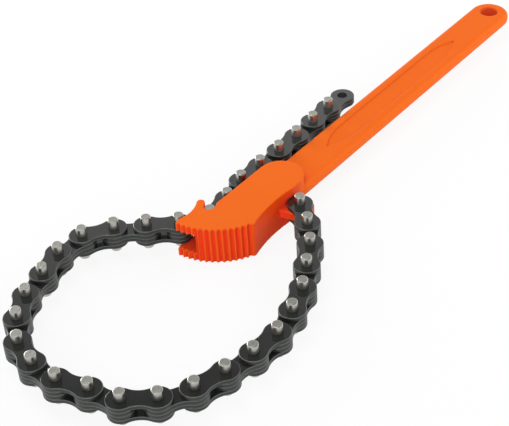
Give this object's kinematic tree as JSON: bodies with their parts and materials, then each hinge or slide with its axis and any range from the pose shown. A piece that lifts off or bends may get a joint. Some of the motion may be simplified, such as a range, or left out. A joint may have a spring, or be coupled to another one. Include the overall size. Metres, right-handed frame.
{
  "type": "chain wrench",
  "caption": "Chain wrench: a painted flat bar handle with a toothed head, and a leaf chain that goes round a pipe and catches on the head's hook by one of its long pins.",
  "frame": {"origin": "centre of the hang hole, halfway through the bar", "axes": "+X along the bar to the head, +Z parallel to the chain's pins, hook on the -Y side and lug on the +Y side"},
  "size_m": [0.3127, 0.1065, 0.016],
  "materials": {
    "orange_paint": "gloss",
    "plate_steel": "blackened",
    "pin_steel": "satin"
  },
  "bodies": {
    "handle": {"handle_casting": "orange_paint"},
    "outer_link_01": {"outer_link_01_plates": "plate_steel", "outer_link_01_pins": "pin_steel"},
    "inner_link_01": {"inner_link_01_plates": "plate_steel"},
    "outer_link_02": {"outer_link_02_plates": "plate_steel", "outer_link_02_pins": "pin_steel"},
    "inner_link_02": {"inner_link_02_plates": "plate_steel"},
    "outer_link_03": {"outer_link_03_plates": "plate_steel", "outer_link_03_pins": "pin_steel"},
    "inner_link_03": {"inner_link_03_plates": "plate_steel"},
    "outer_link_04": {"outer_link_04_plates": "plate_steel", "outer_link_04_pins": "pin_steel"},
    "inner_link_04": {"inner_link_04_plates": "plate_steel"},
    "outer_link_05": {"outer_link_05_plates": "plate_steel", "outer_link_05_pins": "pin_steel"},
    "inner_link_05": {"inner_link_05_plates": "plate_steel"},
    "outer_link_06": {"outer_link_06_plates": "plate_steel", "outer_link_06_pins": "pin_steel"},
    "inner_link_06": {"inner_link_06_plates": "plate_steel"},
    "outer_link_07": {"outer_link_07_plates": "plate_steel", "outer_link_07_pins": "pin_steel"},
    "inner_link_07": {"inner_link_07_plates": "plate_steel"},
    "outer_link_08": {"outer_link_08_plates": "plate_steel", "outer_link_08_pins": "pin_steel"},
    "inner_link_08": {"inner_link_08_plates": "plate_steel"},
    "outer_link_09": {"outer_link_09_plates": "plate_steel", "outer_link_09_pins": "pin_steel"},
    "inner_link_09": {"inner_link_09_plates": "plate_steel"},
    "outer_link_10": {"outer_link_10_plates": "plate_steel", "outer_link_10_pins": "pin_steel"},
    "inner_link_10": {"inner_link_10_plates": "plate_steel"},
    "outer_link_11": {"outer_link_11_plates": "plate_steel", "outer_link_11_pins": "pin_steel"},
    "inner_link_11": {"inner_link_11_plates": "plate_steel"},
    "outer_link_12": {"outer_link_12_plates": "plate_steel", "outer_link_12_pins": "pin_steel"},
    "inner_link_12": {"inner_link_12_plates": "plate_steel"},
    "outer_link_13": {"outer_link_13_plates": "plate_steel", "outer_link_13_pins": "pin_steel"},
    "inner_link_13": {"inner_link_13_plates": "plate_steel"},
    "outer_link_14": {"outer_link_14_plates": "plate_steel", "outer_link_14_pins": "pin_steel"},
    "inner_link_14": {"inner_link_14_plates": "plate_steel"},
    "outer_link_15": {"outer_link_15_plates": "plate_steel", "outer_link_15_pins": "pin_steel"},
    "inner_link_15": {"inner_link_15_plates": "plate_steel"},
    "outer_link_16": {"outer_link_16_plates": "plate_steel", "outer_link_16_pins": "pin_steel"},
    "inner_link_16": {"inner_link_16_plates": "plate_steel"}
  },
  "joints": [
    {"name": "lug_pivot", "type": "hinge", "parent": "handle", "child": "outer_link_01", "pos_m": [0.1729, 0.0142, 0], "axis": [0, 0, 1], "range_deg": [0, 12]},
    {"name": "pivot_01", "type": "hinge", "parent": "outer_link_01", "child": "inner_link_01", "pos_m": [0.18119, 0.02382, 0], "axis": [0, 0, 1], "range_deg": [-51, 69]},
    {"name": "pivot_02", "type": "hinge", "parent": "inner_link_01", "child": "outer_link_02", "pos_m": [0.19088, 0.03203, 0], "axis": [0, 0, 1], "range_deg": [-50, 70]},
    {"name": "pivot_03", "type": "hinge", "parent": "outer_link_02", "child": "inner_link_02", "pos_m": [0.20186, 0.03842, 0], "axis": [0, 0, 1], "range_deg": [-59, 61]},
    {"name": "pivot_04", "type": "hinge", "parent": "inner_link_02", "child": "outer_link_03", "pos_m": [0.21294, 0.04462, 0], "axis": [0, 0, 1], "range_deg": [-50, 70]},
    {"name": "pivot_05", "type": "hinge", "parent": "outer_link_03", "child": "inner_link_03", "pos_m": [0.22493, 0.0488, 0], "axis": [0, 0, 1], "range_deg": [-53, 67]},
    {"name": "pivot_06", "type": "hinge", "parent": "inner_link_03", "child": "outer_link_04", "pos_m": [0.23735, 0.05149, 0], "axis": [0, 0, 1], "range_deg": [-44, 76]},
    {"name": "pivot_07", "type": "hinge", "parent": "outer_link_04", "child": "inner_link_04", "pos_m": [0.25002, 0.05064, 0], "axis": [0, 0, 1], "range_deg": [-53, 67]},
    {"name": "pivot_08", "type": "hinge", "parent": "inner_link_04", "child": "outer_link_05", "pos_m": [0.26249, 0.04825, 0], "axis": [0, 0, 1], "range_deg": [-54, 66]},
    {"name": "pivot_09", "type": "hinge", "parent": "outer_link_05", "child": "inner_link_05", "pos_m": [0.27465, 0.04458, 0], "axis": [0, 0, 1], "range_deg": [-44, 76]},
    {"name": "pivot_10", "type": "hinge", "parent": "inner_link_05", "child": "outer_link_06", "pos_m": [0.28531, 0.03769, 0], "axis": [0, 0, 1], "range_deg": [-41, 79]},
    {"name": "pivot_11", "type": "hinge", "parent": "outer_link_06", "child": "inner_link_06", "pos_m": [0.29315, 0.02769, 0], "axis": [0, 0, 1], "range_deg": [-32, 88]},
    {"name": "pivot_12", "type": "hinge", "parent": "inner_link_06", "child": "outer_link_07", "pos_m": [0.29538, 0.01519, 0], "axis": [0, 0, 1], "range_deg": [-64, 56]},
    {"name": "pivot_13", "type": "hinge", "parent": "outer_link_07", "child": "inner_link_07", "pos_m": [0.29847, 0.00287, 0], "axis": [0, 0, 1], "range_deg": [-41, 79]},
    {"name": "pivot_14", "type": "hinge", "parent": "inner_link_07", "child": "outer_link_08", "pos_m": [0.29737, -0.00978, 0], "axis": [0, 0, 1], "range_deg": [-43, 77]},
    {"name": "pivot_15", "type": "hinge", "parent": "outer_link_08", "child": "inner_link_08", "pos_m": [0.29262, -0.02156, 0], "axis": [0, 0, 1], "range_deg": [-39, 81]},
    {"name": "pivot_16", "type": "hinge", "parent": "inner_link_08", "child": "outer_link_09", "pos_m": [0.28396, -0.03085, 0], "axis": [0, 0, 1], "range_deg": [-44, 76]},
    {"name": "pivot_17", "type": "hinge", "parent": "outer_link_09", "child": "inner_link_09", "pos_m": [0.27307, -0.03739, 0], "axis": [0, 0, 1], "range_deg": [-45, 75]},
    {"name": "pivot_18", "type": "hinge", "parent": "inner_link_09", "child": "outer_link_10", "pos_m": [0.26086, -0.04088, 0], "axis": [0, 0, 1], "range_deg": [-61, 59]},
    {"name": "pivot_19", "type": "hinge", "parent": "outer_link_10", "child": "inner_link_10", "pos_m": [0.24872, -0.04458, 0], "axis": [0, 0, 1], "range_deg": [-41, 79]},
    {"name": "pivot_20", "type": "hinge", "parent": "inner_link_10", "child": "outer_link_11", "pos_m": [0.23603, -0.04413, 0], "axis": [0, 0, 1], "range_deg": [-28, 92]},
    {"name": "pivot_21", "type": "hinge", "parent": "outer_link_11", "child": "inner_link_11", "pos_m": [0.22551, -0.03701, 0], "axis": [0, 0, 1], "range_deg": [-46, 74]},
    {"name": "pivot_22", "type": "hinge", "parent": "inner_link_11", "child": "outer_link_12", "pos_m": [0.21703, -0.02755, 0], "axis": [0, 0, 1], "range_deg": [-58, 62]},
    {"name": "pivot_23", "type": "hinge", "parent": "outer_link_12", "child": "inner_link_12", "pos_m": [0.20889, -0.0178, 0], "axis": [0, 0, 1], "range_deg": [-75, 45]},
    {"name": "pivot_24", "type": "hinge", "parent": "inner_link_12", "child": "outer_link_13", "pos_m": [0.1985, -0.0105, 0], "axis": [0, 0, 1], "range_deg": [0, 22]},
    {"name": "pivot_25", "type": "hinge", "parent": "outer_link_13", "child": "inner_link_13", "pos_m": [0.18588, -0.01197, 0], "axis": [0, 0, 1], "range_deg": [0, 22]},
    {"name": "pivot_26", "type": "hinge", "parent": "inner_link_13", "child": "outer_link_14", "pos_m": [0.17348, -0.0147, 0], "axis": [0, 0, 1], "range_deg": [0, 22]},
    {"name": "pivot_27", "type": "hinge", "parent": "outer_link_14", "child": "inner_link_14", "pos_m": [0.16078, -0.0147, 0], "axis": [0, 0, 1], "range_deg": [0, 22]},
    {"name": "pivot_28", "type": "hinge", "parent": "inner_link_14", "child": "outer_link_15", "pos_m": [0.14808, -0.0147, 0], "axis": [0, 0, 1], "range_deg": [0, 22]},
    {"name": "pivot_29", "type": "hinge", "parent": "outer_link_15", "child": "inner_link_15", "pos_m": [0.13538, -0.01492, 0], "axis": [0, 0, 1], "range_deg": [0, 22]},
    {"name": "pivot_30", "type": "hinge", "parent": "inner_link_15", "child": "outer_link_16", "pos_m": [0.1227, -0.01559, 0], "axis": [0, 0, 1], "range_deg": [0, 22]},
    {"name": "pivot_31", "type": "hinge", "parent": "outer_link_16", "child": "inner_link_16", "pos_m": [0.11003, -0.01647, 0], "axis": [0, 0, 1], "range_deg": [0, 22]}
  ],
  "couplings": [
    {"joint": "pivot_01", "follows": "lug_pivot", "ratio": 0.84},
    {"joint": "pivot_02", "follows": "lug_pivot", "ratio": 0.68},
    {"joint": "pivot_03", "follows": "lug_pivot", "ratio": 0.5},
    {"joint": "pivot_04", "follows": "lug_pivot", "ratio": 0.32},
    {"joint": "pivot_05", "follows": "lug_pivot", "ratio": 0.09},
    {"joint": "pivot_06", "follows": "lug_pivot", "ratio": -0.19},
    {"joint": "pivot_07", "follows": "lug_pivot", "ratio": -0.46},
    {"joint": "pivot_08", "follows": "lug_pivot", "ratio": -0.67},
    {"joint": "pivot_09", "follows": "lug_pivot", "ratio": -0.75},
    {"joint": "pivot_10", "follows": "lug_pivot", "ratio": -0.66},
    {"joint": "pivot_11", "follows": "lug_pivot", "ratio": -0.43},
    {"joint": "pivot_12", "follows": "lug_pivot", "ratio": -0.14},
    {"joint": "pivot_13", "follows": "lug_pivot", "ratio": 0.14},
    {"joint": "pivot_14", "follows": "lug_pivot", "ratio": 0.35},
    {"joint": "pivot_15", "follows": "lug_pivot", "ratio": 0.5},
    {"joint": "pivot_16", "follows": "lug_pivot", "ratio": 0.64},
    {"joint": "pivot_17", "follows": "lug_pivot", "ratio": 0.76},
    {"joint": "pivot_18", "follows": "lug_pivot", "ratio": 0.85},
    {"joint": "pivot_19", "follows": "lug_pivot", "ratio": 0.88},
    {"joint": "pivot_20", "follows": "lug_pivot", "ratio": 0.85},
    {"joint": "pivot_21", "follows": "lug_pivot", "ratio": 0.76},
    {"joint": "pivot_22", "follows": "lug_pivot", "ratio": 0.63},
    {"joint": "pivot_23", "follows": "lug_pivot", "ratio": 0.44}
  ]
}
